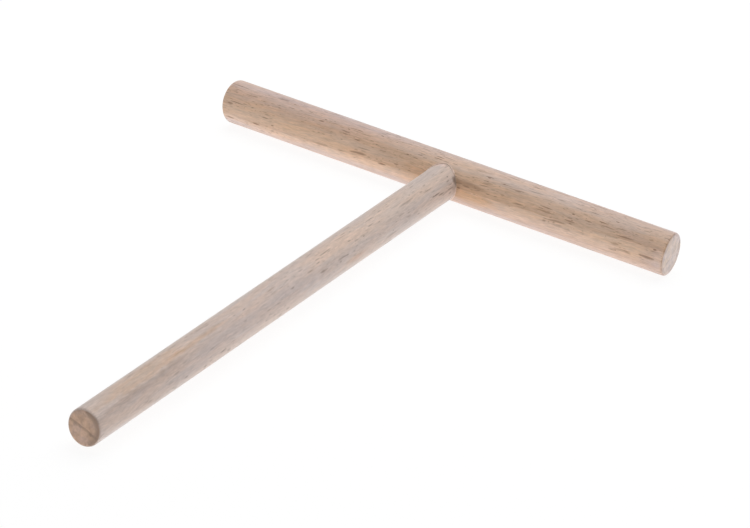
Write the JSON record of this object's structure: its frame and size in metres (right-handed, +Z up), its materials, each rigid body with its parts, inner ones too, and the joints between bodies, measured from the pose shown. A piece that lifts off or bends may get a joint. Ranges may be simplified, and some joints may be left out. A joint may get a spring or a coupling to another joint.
{
  "type": "crepe batter spreader",
  "caption": "T-shaped wooden batter spreader: a thin round handle glued square into the middle of a round crossbar.",
  "frame": {"origin": "on the table, under the middle of the part's outline", "axes": "+Z up; X along the crossbar; the handle runs along Y, from the crossbar at +Y to its butt face at -Y"},
  "size_m": [0.136, 0.186, 0.012],
  "materials": {
    "beech_bar": "bare sanded beech, warm, with dark ray flecks",
    "beech_handle": "bare sanded beech, paler and greyer, with soft streaks",
    "glue": "cured wood glue"
  },
  "bodies": {
    "root": {"crossbar": "beech_bar", "handle": "beech_handle", "glue_film": "glue"}
  },
  "joints": []
}
